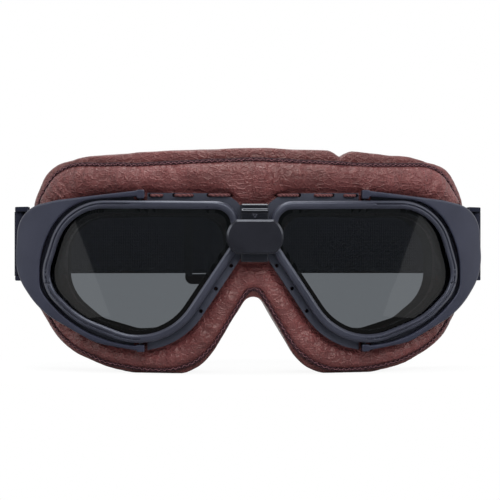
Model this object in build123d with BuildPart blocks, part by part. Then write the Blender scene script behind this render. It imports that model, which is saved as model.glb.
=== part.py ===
from build123d import *
import os
from math import sqrt

# Aviator flying goggles. The front is a set of plates wrapped round one upright
# axis, the face pad is laced to it, and the strap loops round the back.
# Millimetres, +Z up, the front faces -Y. Left is the -X side. The goggles stand
# on the two cheek lobes of the face pad, and the origin is the bottom centre.

# Wrap of the front
wrap_radius = 130.0
rim_lip = 2.0
lens_thickness = 2.0
frame_thickness = 4.0
panel_thickness = 1.6
pad_thickness = 25.4

# Lens rims, one eye
rim_gap = 11.0
rim_width = 77.0
rim_height = 56.0
rim_base = 11.6
rim_face = 3.2
rim_bevel = 0.9
groove_inset = 1.1
groove_width = 0.5
groove_depth = 0.7
lens_lap = 1.2
split_width = 0.5
split_depth = 0.8
split_height = 34.6

# Lens seal and eye frame
seal_width = 2.7
seal_thickness = 1.5
flange_width = 3.0
skirt_width = 2.0
skirt_inset = 0.4
lacing_hole = 1.5
awl_sides = 6
lacing_thread = 1.3
lacing_lift = 0.1

# Nose bridge and its sliding cover
bridge_width = 10.4
bridge_height = 22.2
bridge_drop = 2.0
rail_projection = 2.8
rail_neck_width = 8.4
rail_neck = 0.4
ridge_height = 0.7
ridge_drop = 3.0
ridge_projection = 0.5
cover_projection = 5.0
cover_width = 21.8
cover_waist_width = 14.2
cover_height = 13.2
cover_lift = 3.0
cover_gap = 0.3
cover_chamfer = 0.8
rail_clearance = 0.06

# Outriggers and their hinges
hinge_x = 43.6
hinge_setback = 6.6
pin_radius = 0.7
pin_clearance = 0.05
barrel_radius = 1.35
tip_width = 2.8
tip_gap = 0.3
pin_engagement = 3.4
flange_relief = 2.6
outrigger_drop = 1.0
outrigger_thickness = 3.5
outrigger_overhang = 2.1
outrigger_foot = 3.0
outrigger_rise = 3.7
outrigger_bevel = 0.4

# Strap bars and strap
bar_radius = 1.5
bar_setback = 8.5
ear_thickness = 2.0
ear_wall = 1.4
ear_gap = 0.7
strap_width = 25.0
strap_thickness = 1.6
strap_base = 38.0
strap_reach = 105.0
strap_corner = 38.0
strap_clearance = 0.15
edge_clearance = 0.4
sewn_leaf = 16.0
leaf_spread = 8.0
leaf_bend = 4.0

# Strap slider
slider_x = -15.0
slider_width = 20.0
slider_height = 34.4
slider_plate = 1.8
slider_bar = 3.0
slider_corner = 3.0
centre_bar_radius = 1.0

# Face pad
seam_half_width = 86.5
seam_height = 83.0
roll_overhang = 1.5
roll_rise = 5.0
roll_crown = 5.0
face_spread = 33.0
cover_leather = 1.6
lining_thickness = 1.2
binding_width = 0.9
binding_thickness = 2.0
opening_width = 62.0
opening_height = 44.5
opening_base = 16.6
opening_inner_x = 11.0

# Overrun of every cut past the faces that it opens
overrun = 5.0

# Outlines in the front view, as corners with a radius: shares of the width from
# the inner edge, of the height from the base, and of the height for the radius.
# An eye's radii are drawn for a rise share, the height for one unit of width.
rim_rise_share = 0.727
outrigger_rise_share = 0.669
opening_rise_share = 0.718
rim_shares = (
    (0.005, 0.984, 0.160),
    (0.893, 0.999, 0.400),
    (1.030, 0.404, 0.286),
    (0.831, 0.141, 0.620),
    (0.374, -0.093, 0.477),
    (0.004, 0.670, 0.107),
)
outrigger_shares = (
    (0.449, 1.000, 0.010),
    (0.817, 0.943, 0.350),
    (0.988, 0.889, 0.200),
    (1.006, 0.482, 0.350),
    (0.894, 0.241, 0.540),
    (0.654, 0.050, 0.370),
    (0.449, 0.000, 0.010),
    (0.449, 0.036, 0.000),
    (0.700, 0.052, 0.800),
    (0.893, 0.372, 0.150),
    (0.894, 0.616, 0.500),
    (0.785, 0.931, 0.350),
    (0.500, 0.958, 0.050),
    (0.449, 0.960, 0.000),
)
seam_shares = (
    (0.526, 0.978, 0.240),
    (0.880, 0.987, 0.187),
    (0.984, 0.800, 0.240),
    (0.990, 0.360, 0.170),
    (0.850, 0.135, 0.360),
    (0.659, 0.045, 0.540),
    (0.495, 0.020, 0.170),
    (0.250, 0.013, 0.300),
)
seam_nose_share = (0.0, 0.440, 0.045)
seam_brow_share = (0.0, 1.0, 0.5)
roll_shares = (
    (0.460, 0.985, 0.300),
    (0.720, 0.972, 0.500),
    (0.915, 0.925, 0.150),
    (0.995, 0.760, 0.250),
    (1.003, 0.340, 0.170),
    (0.857, 0.110, 0.340),
    (0.655, 0.020, 0.500),
    (0.489, -0.008, 0.150),
    (0.229, -0.010, 0.240),
)
roll_nose_share = (0.0, 0.392, 0.050)
roll_brow_share = (0.0, 1.0, 0.5)
opening_shares = (
    (0.020, 1.000, 0.200),
    (0.985, 1.000, 0.350),
    (0.985, 0.325, 0.400),
    (0.768, 0.090, 0.180),
    (0.540, 0.000, 0.190),
    (0.263, 0.020, 0.500),
    (-0.010, 0.710, 0.150),
)

# Lacing holes: shares of the rim width along the top, and of the rim height
# along the slanted nose side
top_hole_shares = (0.051, 0.156, 0.243, 0.327, 0.402, 0.448)
nose_hole_shares = (0.136, 0.325, 0.511)

# Radii of the layers from the wrap axis
lens_front_r = wrap_radius - rim_lip
frame_front_r = lens_front_r - lens_thickness
frame_back_r = frame_front_r - frame_thickness
panel_back_r = frame_back_r - panel_thickness
outrigger_front_r = wrap_radius - outrigger_drop
outrigger_back_r = outrigger_front_r - outrigger_thickness
hinge_r = wrap_radius - hinge_setback
bar_r = wrap_radius - bar_setback

# Places and sizes that follow from the pad's outline
roll_half_width = seam_half_width + roll_overhang
roll_height = seam_height + roll_rise
face_radius = roll_half_width + face_spread
bar_x = roll_half_width + ear_gap + ear_wall + bar_radius
outrigger_width = bar_x + outrigger_overhang

# Places along Z that follow from the rims
rim_top = rim_base + rim_height
outrigger_base = rim_base - outrigger_foot
outrigger_height = rim_height + outrigger_foot + outrigger_rise
bridge_top = rim_top - bridge_drop
bridge_base = bridge_top - bridge_height
cover_base = bridge_base + cover_lift

# Places along Y
layer_step = strap_thickness + strap_clearance
strap_outside = layer_step + strap_thickness / 2
slider_outside = strap_thickness / 2 + strap_clearance + 2 * centre_bar_radius
crown_y = (cover_projection - strap_reach - max(strap_outside, slider_outside)) / 2
axis_y = crown_y + wrap_radius
hinge_y = axis_y - sqrt(hinge_r**2 - hinge_x**2)
bar_y = axis_y - sqrt(bar_r**2 - bar_x**2)
strap_y = crown_y + strap_reach
face_axis_y = axis_y - panel_back_r + pad_thickness + face_radius
pad_top = roll_height + overrun


def front_plane(y):
    """Plane that faces the viewer at the given depth: its local y is Z."""
    return Plane((0, y, 0), x_dir=(1, 0, 0), z_dir=(0, -1, 0))


def radial_plane(x, z, radius):
    """Plane facing outwards at a wrap radius, in line with a spot on the frame's front."""
    depth = sqrt(frame_front_r**2 - x**2)
    reach = radius / frame_front_r
    return Plane((x * reach, axis_y - depth * reach, z), x_dir=(depth, x, 0), z_dir=(x, -depth, 0))


def eye_corners(shares, side, inner_x, width, base, height, rise_share):
    """Corner points and radii of one eye's outline."""
    points = [(side * (inner_x + x * width), base + z * height) for x, z, r in shares]
    return points, [r * min(height, width * rise_share) for x, z, r in shares]


def pad_corners(shares, brow_share, nose_share, half_width, height):
    """Corner points and radii of the whole pad's outline, both halves."""
    right = [(x * half_width, z * height) for x, z, r in shares]
    left = [(-x, z) for x, z in reversed(right)]
    bends = [r * height for x, z, r in shares]
    middle = [(x * half_width, z * height) for x, z, r in (brow_share, nose_share)]
    ends = [r * height for x, z, r in (brow_share, nose_share)]
    return [middle[0], *right, middle[1], *left], [ends[0], *bends, ends[1], *reversed(bends)]


def outline(points, bends, grow=0.0):
    """Flat face inside an outline, grown or shrunk."""
    with BuildSketch(front_plane(crown_y - overrun)) as face:
        with BuildLine():
            FilletPolyline(*points, radius=bends, close=True)
        make_face()
        if grow:
            offset(amount=grow)
    return face.sketch


def ring(outer, inner):
    """Face between two outlines."""
    with BuildSketch(front_plane(crown_y - overrun)) as face:
        add(outer)
        add(inner, mode=Mode.SUBTRACT)
    return face.sketch


def upright_box(x_from, x_to, z_from, z_to):
    """Front-view rectangle between four edges."""
    middle = ((x_from + x_to) / 2, (z_from + z_to) / 2)
    with BuildSketch(front_plane(crown_y - overrun)) as face:
        with Locations(middle):
            Rectangle(abs(x_to - x_from), z_to - z_from)
    return face.sketch


def wrapped(face, outer_r, inner_r):
    """Piece of the tube between two wrap radii that a front outline cuts out."""
    with BuildPart() as piece:
        extrude(face, amount=-(wrap_radius + overrun))
        with BuildSketch(Plane((0, axis_y, -overrun))):
            Circle(outer_r)
            Circle(inner_r, mode=Mode.SUBTRACT)
        extrude(amount=pad_top + overrun, mode=Mode.INTERSECT)
    return piece.part


def through_pad(face, inset=0.0):
    """Piece from the back of the leather panel to the pad's face side, less an inset."""
    with BuildPart() as piece:
        extrude(face, amount=-(wrap_radius + overrun))
        with BuildSketch(Plane((0, axis_y, -overrun))):
            Circle(panel_back_r)
        extrude(amount=pad_top + overrun, mode=Mode.INTERSECT)
        with BuildSketch(Plane((0, face_axis_y, -overrun))):
            Circle(face_radius + inset)
        extrude(amount=pad_top + overrun, mode=Mode.SUBTRACT)
    return piece.part


def on_tube(part, radius):
    """Upright round faces of a part that have the given radius."""
    return part.faces().filter_by(GeomType.CYLINDER).filter_by(
        lambda face: abs(face.radius - radius) < rim_bevel / 100
        and abs(face.axis_of_rotation.direction.Z) > 0.5
    )


def rim_outline(side, grow=0.0):
    points, bends = eye_corners(
        rim_shares, side, rim_gap / 2, rim_width, rim_base, rim_height, rim_rise_share
    )
    return outline(points, bends, grow)


def opening_outline(side, grow=0.0):
    points, bends = eye_corners(
        opening_shares, side, opening_inner_x, opening_width, opening_base, opening_height,
        opening_rise_share,
    )
    return outline(points, bends, grow)


def seam_outline(grow=0.0):
    points, bends = pad_corners(
        seam_shares, seam_brow_share, seam_nose_share, seam_half_width, seam_height
    )
    return outline(points, bends, grow)


def roll_outline(grow=0.0):
    points, bends = pad_corners(
        roll_shares, roll_brow_share, roll_nose_share, roll_half_width, roll_height
    )
    return outline(points, bends, grow)


def lens_rim(side):
    """Bevelled bezel that holds the lens in a rebate behind its lip, grooved on its outer side."""
    body = wrapped(rim_outline(side), wrap_radius, frame_front_r)
    window = wrapped(rim_outline(side, -rim_face), wrap_radius + overrun, frame_front_r - overrun)
    seat = wrapped(rim_outline(side, lens_lap - rim_face), lens_front_r, frame_front_r - overrun)
    outer_x = rim_gap / 2 + rim_width
    cut = upright_box(
        side * (outer_x - rim_face), side * (outer_x + overrun), split_height, split_height + split_width
    )
    split = wrapped(cut, wrap_radius + overrun, wrap_radius - split_depth)
    with BuildSketch(front_plane(crown_y - overrun)) as channel:
        add(rim_outline(side, -groove_inset))
        add(rim_outline(side, -groove_inset - groove_width), mode=Mode.SUBTRACT)
        add(upright_box(side * hinge_x, side * (outer_x + overrun), 0, pad_top), mode=Mode.INTERSECT)
    groove = wrapped(channel.sketch, wrap_radius + overrun, wrap_radius - groove_depth)
    with BuildPart() as rim:
        add(body)
        add(window, mode=Mode.SUBTRACT)
        add(seat, mode=Mode.SUBTRACT)
        chamfer(on_tube(rim.part, wrap_radius).edges(), length=rim_bevel)
        add(split, mode=Mode.SUBTRACT)
        add(groove, mode=Mode.SUBTRACT)
    return rim


def lens(side):
    """Curved pane in the rim's rebate."""
    with BuildPart() as pane:
        add(wrapped(rim_outline(side, lens_lap - rim_face), lens_front_r, frame_front_r))
    return pane


def seal_edges(side):
    """Outer and inner outline of the seal behind the lens."""
    outer = rim_outline(side, lens_lap - rim_face)
    return outer, rim_outline(side, lens_lap - rim_face - seal_width)


def lens_seal(side):
    """Rubber ring let into the eye frame."""
    outer, inner = seal_edges(side)
    with BuildPart() as seal:
        add(wrapped(ring(outer, inner), frame_front_r, frame_front_r - seal_thickness))
    return seal


def lacing_points(side):
    """Centres of the lacing holes in the front view: along the top, then the nose side."""
    top = rim_top + flange_width / 2
    row = [(side * (rim_gap / 2 + share * rim_width), top) for share in top_hole_shares]
    first, last = (
        Vector(rim_gap / 2 + x * rim_width, rim_base + z * rim_height)
        for x, z, r in (rim_shares[-1], rim_shares[-2])
    )
    along = (last - first).normalized()
    outwards = Vector(along.Y, -along.X)
    for share in nose_hole_shares:
        spot = first + along * (share * rim_height) + outwards * (flange_width / 2)
        row.append((side * spot.X, spot.Y))
    return row


def lacing_drills(side):
    """Round cutters through the frame's lacing holes, square to the wrap."""
    with BuildPart() as drills:
        for x, z in lacing_points(side):
            with BuildSketch(radial_plane(x, z, frame_front_r + overrun)):
                Circle(lacing_hole / 2)
            extrude(amount=-(frame_thickness + 2 * overrun))
    return drills.part


def awl_holes(side):
    """Flat-sided cutters for the leather, one for each hole that the lacing goes through."""
    with BuildPart() as cuts:
        for x, z in lacing_points(side)[: len(top_hole_shares)]:
            with BuildSketch(radial_plane(x, z, frame_back_r + overrun)):
                RegularPolygon(lacing_hole / 2, awl_sides, major_radius=False)
            extrude(amount=-(panel_thickness + 2 * overrun))
    return cuts.part


def eye_frame(side):
    """Plate behind the rim, with the laced flange inside the hinge and a skirt outside it."""
    outer, inner = seal_edges(side)
    near = side * bridge_width / 2
    far = side * (hinge_x - flange_relief)
    with BuildSketch(front_plane(crown_y - overrun)) as face:
        add(rim_outline(side, flange_width))
        add(upright_box(near, far, 0, pad_top), mode=Mode.INTERSECT)
        add(rim_outline(side))
        add(inner, mode=Mode.SUBTRACT)
    with BuildSketch(front_plane(crown_y - overrun)) as band:
        add(rim_outline(side, skirt_width))
        add(upright_box(side * (hinge_x + flange_relief), side * wrap_radius, 0, pad_top),
            mode=Mode.INTERSECT)
        add(inner, mode=Mode.SUBTRACT)
    plate = wrapped(face.sketch, frame_front_r, frame_back_r)
    skirt = wrapped(band.sketch, outrigger_back_r - skirt_inset, frame_back_r)
    rebate = wrapped(outer, frame_front_r + overrun, frame_front_r - seal_thickness)
    drills = lacing_drills(side)
    with BuildPart() as frame:
        add(plate)
        add(skirt)
        add(rebate, mode=Mode.SUBTRACT)
        add(drills, mode=Mode.SUBTRACT)
        with BuildSketch(Plane((side * hinge_x, hinge_y, 0))):
            Circle(pin_radius + pin_clearance)
        extrude(amount=pad_top, mode=Mode.SUBTRACT)
    return frame


def tip_spans():
    """Base and height of the outrigger's lower and upper tip."""
    lower_top = rim_base - tip_gap
    upper_base = rim_top + tip_gap
    upper_top = outrigger_base + outrigger_height
    return (outrigger_base, lower_top - outrigger_base), (upper_base, upper_top - upper_base)


def hinge_pins(side):
    """Two short pins, from the outrigger's tips into the eye frame."""
    (lower, lower_height), (upper, upper_height) = tip_spans()
    reach = tip_gap + pin_engagement
    with BuildPart() as pins:
        for base, length in ((lower, lower_height + reach), (upper - reach, upper_height + reach)):
            with BuildSketch(Plane((side * hinge_x, hinge_y, base))):
                Circle(pin_radius)
            extrude(amount=length)
    return pins


def outrigger(side):
    """C-shaped arm with a hinge barrel at each tip and two ears for the strap bar."""
    points, bends = eye_corners(
        outrigger_shares, side, 0, outrigger_width, outrigger_base, outrigger_height,
        outrigger_rise_share,
    )
    arm = wrapped(outline(points, bends), outrigger_front_r, outrigger_back_r)
    tip_from, tip_to = side * (hinge_x - tip_width / 2), side * (hinge_x + tip_width / 2)
    tips = [
        wrapped(upright_box(tip_from, tip_to, base, base + height), outrigger_front_r, hinge_r)
        for base, height in tip_spans()
    ]
    ear_from = side * (bar_x - bar_radius - ear_wall)
    ear_to = side * (bar_x + bar_radius + ear_wall)
    ear_back_r = bar_r - bar_radius - ear_wall
    strap_top = strap_base + strap_width
    ears = [
        wrapped(upright_box(ear_from, ear_to, base, base + ear_thickness), outrigger_back_r, ear_back_r)
        for base in (strap_base - edge_clearance - ear_thickness, strap_top + edge_clearance)
    ]
    with BuildPart() as arms:
        add(arm)
        chamfer(on_tube(arms.part, outrigger_front_r).edges(), length=outrigger_bevel)
        for tip in tips:
            add(tip)
        for base, height in tip_spans():
            with BuildSketch(Plane((side * hinge_x, hinge_y, base))):
                Circle(barrel_radius)
            extrude(amount=height)
        for ear in ears:
            add(ear)
        with BuildSketch(Plane((side * hinge_x, hinge_y, 0))):
            Circle(pin_radius)
        extrude(amount=pad_top, mode=Mode.SUBTRACT)
        with BuildSketch(Plane((side * bar_x, bar_y, 0))):
            Circle(bar_radius)
        extrude(amount=pad_top, mode=Mode.SUBTRACT)
    return arms


def strap_bar(side):
    """Steel pin between the outrigger's ears."""
    base = strap_base - edge_clearance - ear_thickness
    with BuildPart() as bar:
        with BuildSketch(Plane((side * bar_x, bar_y, base))):
            Circle(bar_radius)
        extrude(amount=strap_width + 2 * (edge_clearance + ear_thickness))
    return bar


def nose_bridge():
    """Block between the eye frames, with a dovetail rail in front and a stop ridge."""
    half, neck = bridge_width / 2, rail_neck_width / 2
    front, shoulder = crown_y - rail_projection, crown_y - rail_neck
    back = crown_y + wrap_radius - frame_back_r
    with BuildPart() as bridge:
        with BuildSketch(Plane.XY.offset(bridge_base)):
            with BuildLine():
                Polyline(
                    (half, front), (neck, shoulder), (neck, crown_y), (half, crown_y), (half, back),
                    (-half, back), (-half, crown_y), (-neck, crown_y), (-neck, shoulder), (-half, front),
                    close=True,
                )
            make_face()
        extrude(amount=bridge_top - bridge_base)
        ridge = Plane((0, front - ridge_projection, bridge_top - ridge_drop))
        with BuildSketch(ridge):
            Rectangle(bridge_width, 2 * ridge_projection, align=(Align.CENTER, Align.MIN))
        extrude(amount=ridge_height)
    return bridge


def bridge_cover():
    """Barrel-shaped cap that slides on the bridge's rail."""
    half, waist, rise = cover_width / 2, cover_waist_width / 2, cover_height / 2
    middle = cover_base + rise
    slot, neck = bridge_width / 2 + rail_clearance, rail_neck_width / 2 + rail_clearance
    front = crown_y - rail_projection - rail_clearance
    with BuildPart() as cover:
        with BuildSketch(front_plane(crown_y - cover_projection)):
            with BuildLine():
                ThreePointArc((waist, middle - rise), (half, middle), (waist, middle + rise))
                Line((waist, middle + rise), (-waist, middle + rise))
                ThreePointArc((-waist, middle + rise), (-half, middle), (-waist, middle - rise))
                Line((-waist, middle - rise), (waist, middle - rise))
            make_face()
        extrude(amount=cover_gap - cover_projection)
        chamfer(cover.faces().sort_by(Axis.Y)[0].edges(), length=cover_chamfer)
        with BuildSketch(Plane.XY.offset(cover_base - overrun)):
            with BuildLine():
                Polyline(
                    (slot, front), (neck, crown_y - rail_neck), (neck, crown_y),
                    (-neck, crown_y), (-neck, crown_y - rail_neck), (-slot, front),
                    close=True,
                )
            make_face()
        extrude(amount=cover_height + 2 * overrun, mode=Mode.SUBTRACT)
    return cover


def frame_lacing(side):
    """Running stitch along the flange: each stitch has its legs in two of the holes."""
    seat_r = frame_front_r + lacing_thread / 2 + lacing_lift
    holes = lacing_points(side)[: len(top_hole_shares)]
    with BuildPart() as lacing:
        for start, end in zip(holes[::2], holes[1::2]):
            first = radial_plane(*start, seat_r)
            last = radial_plane(*end, seat_r)
            step = last.origin - first.origin
            with BuildSketch(Plane(first.origin, z_dir=step)):
                Circle(lacing_thread / 2)
            extrude(amount=step.length)
            for leg in (first, last):
                with BuildSketch(leg):
                    Circle(lacing_thread / 2)
                extrude(amount=panel_back_r - seat_r)
    return lacing


def front_leather_panel():
    """Leather sheet that the frames are laced to."""
    holes = [awl_holes(side) for side in (-1, 1)]
    with BuildPart() as panel:
        add(wrapped(seam_outline(), frame_back_r, panel_back_r))
        for cut in (*holes, *eye_holes(0)):
            add(cut, mode=Mode.SUBTRACT)
    return panel


def edge_binding():
    """Overlocked edge round the front panel."""
    with BuildPart() as binding:
        add(wrapped(ring(seam_outline(binding_width), seam_outline()),
                    panel_back_r + binding_thickness, panel_back_r))
    return binding


def rounded_pad(shrink):
    """Pad block shrunk from its outer skin: rear edge bevelled to a crown, base cut flat."""
    with BuildPart() as block:
        add(through_pad(roll_outline(-shrink), shrink))
        chamfer(on_tube(block.part, face_radius + shrink).edges(), length=roll_crown - shrink)
        with BuildSketch(Plane((0, axis_y, shrink))):
            Rectangle(2 * wrap_radius, 2 * wrap_radius)
        extrude(amount=pad_top, mode=Mode.INTERSECT)
    return block.part


def eye_holes(grow):
    """Both eye openings through the pad, as solids that reach past its faces."""
    return [
        wrapped(opening_outline(side, grow), wrap_radius, overrun) for side in (-1, 1)
    ]


def rear_leather_cover():
    """Leather tray round the foam: the sides, the roll and the back with its eye holes."""
    with BuildPart() as cover:
        add(rounded_pad(0))
        add(rounded_pad(cover_leather), mode=Mode.SUBTRACT)
        for hole in eye_holes(lining_thickness):
            add(hole, mode=Mode.SUBTRACT)
    return cover


def foam_core():
    """Foam between the leathers."""
    with BuildPart() as core:
        add(rounded_pad(cover_leather))
        for hole in eye_holes(lining_thickness):
            add(hole, mode=Mode.SUBTRACT)
    return core


def eye_lining(side):
    """Wall of one eye opening through the pad."""
    wall = ring(opening_outline(side, lining_thickness), opening_outline(side))
    with BuildPart() as lining:
        add(through_pad(wall))
    return lining


def strap():
    """Elastic strap: sewn round the left bar, round the back, through the slider and
    round the right bar, then doubled back outside itself to the slider's centre bar."""
    loop = bar_radius + strap_clearance + strap_thickness / 2
    outer, inner = bar_x + loop, bar_x - loop
    under = outer - layer_step
    bend = bar_y - loop
    spread = bar_y + leaf_spread
    turn = bar_y + strap_thickness
    far_y = strap_y + layer_step
    end_x = slider_x + centre_bar_radius + strap_clearance
    with BuildPart() as band:
        with BuildLine(Plane.XY.offset(strap_base + strap_width / 2)) as route:
            FilletPolyline(
                (-under, bar_y + sewn_leaf), (-under, spread), (-inner, turn), (-inner, bar_y),
                radius=leaf_bend,
            )
            ThreePointArc((-inner, bar_y), (-bar_x, bend), (-outer, bar_y))
            FilletPolyline(
                (-outer, bar_y), (-outer, strap_y), (under, strap_y), (under, spread),
                (inner, turn), (inner, bar_y),
                radius=(strap_corner, strap_corner - layer_step, leaf_bend, leaf_bend),
            )
            ThreePointArc((inner, bar_y), (bar_x, bend), (outer, bar_y))
            FilletPolyline((outer, bar_y), (outer, far_y), (end_x, far_y), radius=strap_corner)
        start = Vector(-under, bar_y + sewn_leaf, strap_base + strap_width / 2)
        with BuildSketch(Plane(start, x_dir=(1, 0, 0), z_dir=(0, -1, 0))):
            Rectangle(strap_thickness, strap_width)
        sweep()
    return band


def strap_slider():
    """Ladder slider: two side bars inside the strap and a centre bar outside it."""
    middle = strap_base + strap_width / 2
    face = strap_y - strap_thickness / 2 - strap_clearance
    centre_y = strap_y + strap_thickness / 2 + strap_clearance + centre_bar_radius
    window_height = strap_width + 2 * edge_clearance
    rail = (slider_height - window_height) / 2
    with BuildPart() as slider:
        with BuildSketch(front_plane(face - slider_plate)):
            with Locations((slider_x, middle)):
                RectangleRounded(slider_width, slider_height, slider_corner)
                Rectangle(slider_width - 2 * slider_bar, window_height, mode=Mode.SUBTRACT)
        extrude(amount=-slider_plate)
        with BuildSketch(front_plane(face)):
            with Locations((slider_x, middle + (window_height + rail) / 2)):
                Rectangle(2 * slider_bar, rail)
            with Locations((slider_x, middle - (window_height + rail) / 2)):
                Rectangle(2 * slider_bar, rail)
        extrude(amount=-(centre_y - face))
        with BuildSketch(Plane((slider_x, centre_y, middle - slider_height / 2))):
            Circle(centre_bar_radius)
        extrude(amount=slider_height)
    return slider


def save(piece, name):
    """Label a finished piece and write it."""
    piece.part.label = name
    export_step(piece.part, f"parts/{name}.step")


os.makedirs("parts", exist_ok=True)
for name, side in (("left", -1), ("right", 1)):
    save(lens_rim(side), f"{name}_lens_rim")
    save(lens(side), f"{name}_lens")
    save(lens_seal(side), f"{name}_lens_seal")
    save(eye_frame(side), f"{name}_eye_frame")
    save(frame_lacing(side), f"{name}_frame_lacing")
    save(outrigger(side), f"{name}_outrigger")
    save(hinge_pins(side), f"{name}_hinge_pins")
    save(strap_bar(side), f"{name}_strap_bar")
    save(eye_lining(side), f"{name}_eye_lining")
save(nose_bridge(), "nose_bridge")
save(bridge_cover(), "bridge_cover")
save(front_leather_panel(), "front_leather_panel")
save(edge_binding(), "edge_binding")
save(rear_leather_cover(), "rear_leather_cover")
save(foam_core(), "foam_core")
save(strap(), "strap")
save(strap_slider(), "strap_slider")
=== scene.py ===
from math import cos, pi, sin, sqrt, tau

import bmesh
import bpy
from mathutils import Matrix, Vector, noise
from mathutils.bvhtree import BVHTree
from mathutils.kdtree import KDTree


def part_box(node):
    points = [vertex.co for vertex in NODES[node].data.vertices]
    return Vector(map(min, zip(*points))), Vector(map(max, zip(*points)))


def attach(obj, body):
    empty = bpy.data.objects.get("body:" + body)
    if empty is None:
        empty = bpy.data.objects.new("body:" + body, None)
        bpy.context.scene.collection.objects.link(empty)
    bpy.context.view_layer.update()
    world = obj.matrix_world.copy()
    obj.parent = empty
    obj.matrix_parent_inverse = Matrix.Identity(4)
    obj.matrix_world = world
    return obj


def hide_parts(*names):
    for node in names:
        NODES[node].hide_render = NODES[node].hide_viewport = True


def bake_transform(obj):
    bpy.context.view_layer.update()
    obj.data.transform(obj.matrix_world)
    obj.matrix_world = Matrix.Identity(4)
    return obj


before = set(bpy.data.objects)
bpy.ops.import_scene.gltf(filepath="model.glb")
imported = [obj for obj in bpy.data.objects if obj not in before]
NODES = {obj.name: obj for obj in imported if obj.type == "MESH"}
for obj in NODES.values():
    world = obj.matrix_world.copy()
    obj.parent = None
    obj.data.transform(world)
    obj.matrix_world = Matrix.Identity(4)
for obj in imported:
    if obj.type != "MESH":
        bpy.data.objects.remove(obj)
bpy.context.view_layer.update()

bl_info = {
    "name": "Aviator Goggles",
    "version": (1, 0, 0),
    "blender": (4, 5, 0),
    "location": "View3D > Sidebar > Goggles",
    "description": "Dresses the goggles: leather, stitching, lacing, webbing, plastics and lenses",
    "category": "Object",
}

SIDES = {"left": -1, "right": 1}
MM = 0.001

# The wrapped front turns about one upright axis, found from the nose bridge, whose face
# and ridge stand in front of the crown.
BLOCK_PROUD = 2.8 * MM
RIDGE_PROUD = 3.3 * MM
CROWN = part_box("nose_bridge")[0].y + RIDGE_PROUD
WRAP = 130 * MM
AXIS = CROWN + WRAP

# Radii from that axis: both faces of the leather sheet, and the lace in and over the flange
SHEET_FRONT = 122 * MM
SHEET_BACK = 120.4 * MM
LACE_IN_HOLE = 125 * MM
LACE_ON_TOP = 126.65 * MM

# Corners closer than this are one corner, and the seam is searched in these steps.
SAME_SPOT = 0.01 * MM
SEAM_STEP = 0.8 * MM


class LeatherLook(bpy.types.PropertyGroup):
    colour: bpy.props.FloatVectorProperty(
        name="Leather", description="Colour of the face pad's leather", subtype="COLOR",
        size=4, min=0, max=1, default=(0.118, 0.034, 0.033, 1))
    # Painted shade: the crevice colour darkens the hollows between the pebbles.
    crevice_shade: bpy.props.FloatVectorProperty(
        name="Crevice shade", description="Colour between the pebbles", subtype="COLOR",
        size=4, min=0, max=1, default=(0.080, 0.021, 0.022, 1))
    # Painted shade: the lining is dark leather, darkened further to near black so the walls inside
    # the openings read as shaded.
    lining: bpy.props.FloatVectorProperty(
        name="Lining", description="Colour of the walls of the eye openings", subtype="COLOR",
        size=4, min=0, max=1, default=(0.008, 0.006, 0.007, 1))
    pebble: bpy.props.FloatProperty(
        name="Pebble", description="Width of one pebble of the grain", unit="LENGTH",
        default=1.5 * MM)
    puff: bpy.props.FloatProperty(
        name="Puff", description="How far the leather swells between seam and frames",
        unit="LENGTH", default=3.0 * MM)


class ThreadLook(bpy.types.PropertyGroup):
    overlock: bpy.props.FloatVectorProperty(
        name="Overlock", description="Colour of the loops over the seam", subtype="COLOR",
        size=4, min=0, max=1, default=(0.130, 0.055, 0.064, 1))
    # Painted shade: the thread under the top chain takes this darker copy of the thread's colour.
    shaded_bed: bpy.props.FloatVectorProperty(
        name="Seam Bed Shade", description="Colour of the wound thread below the loops",
        subtype="COLOR", size=4, min=0, max=1, default=(0.030, 0.010, 0.014, 1))
    lace: bpy.props.FloatVectorProperty(
        name="Lace", description="Colour of the lacing through the frames", subtype="COLOR",
        size=4, min=0, max=1, default=(0.088, 0.031, 0.032, 1))
    pitch: bpy.props.FloatProperty(
        name="Stitch", description="Distance from stitch to stitch along the seam",
        unit="LENGTH", default=2.3 * MM)
    radius: bpy.props.FloatProperty(
        name="Thread", description="Radius of the seam's thread", unit="LENGTH",
        default=0.17 * MM)


class PlasticLook(bpy.types.PropertyGroup):
    rim: bpy.props.FloatVectorProperty(
        name="Rims", description="Colour of the lens rims", subtype="COLOR",
        size=4, min=0, max=1, default=(0.022, 0.023, 0.034, 1))
    arm: bpy.props.FloatVectorProperty(
        name="Outriggers", description="Colour of the outriggers", subtype="COLOR",
        size=4, min=0, max=1, default=(0.017, 0.018, 0.031, 1))
    block: bpy.props.FloatVectorProperty(
        name="Bridge", description="Colour of the nose bridge", subtype="COLOR",
        size=4, min=0, max=1, default=(0.004, 0.004, 0.006, 1))
    cover: bpy.props.FloatVectorProperty(
        name="Cover", description="Colour of the bridge cover", subtype="COLOR",
        size=4, min=0, max=1, default=(0.009, 0.009, 0.012, 1))


class LensLook(bpy.types.PropertyGroup):
    tint: bpy.props.FloatVectorProperty(
        name="Tint", description="Smoke tint: what the pane lets through", subtype="COLOR",
        size=4, min=0, max=1, default=(0.122, 0.134, 0.146, 1))


class WebbingLook(bpy.types.PropertyGroup):
    colour: bpy.props.FloatVectorProperty(
        name="Elastic", description="Colour of the strap", subtype="COLOR",
        size=4, min=0, max=1, default=(0.007, 0.008, 0.017, 1))
    rib: bpy.props.FloatProperty(
        name="Rib", description="Distance from rib to rib across the strap", unit="LENGTH",
        default=1.3 * MM)


class StudioLook(bpy.types.PropertyGroup):
    floor: bpy.props.FloatVectorProperty(
        name="Floor", description="Colour of the floor", subtype="COLOR",
        size=4, min=0, max=1, default=(0.90, 0.90, 0.90, 1))
    key: bpy.props.FloatProperty(
        name="Key", description="Strength of the large light in front", unit="POWER",
        default=2.6)


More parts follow.
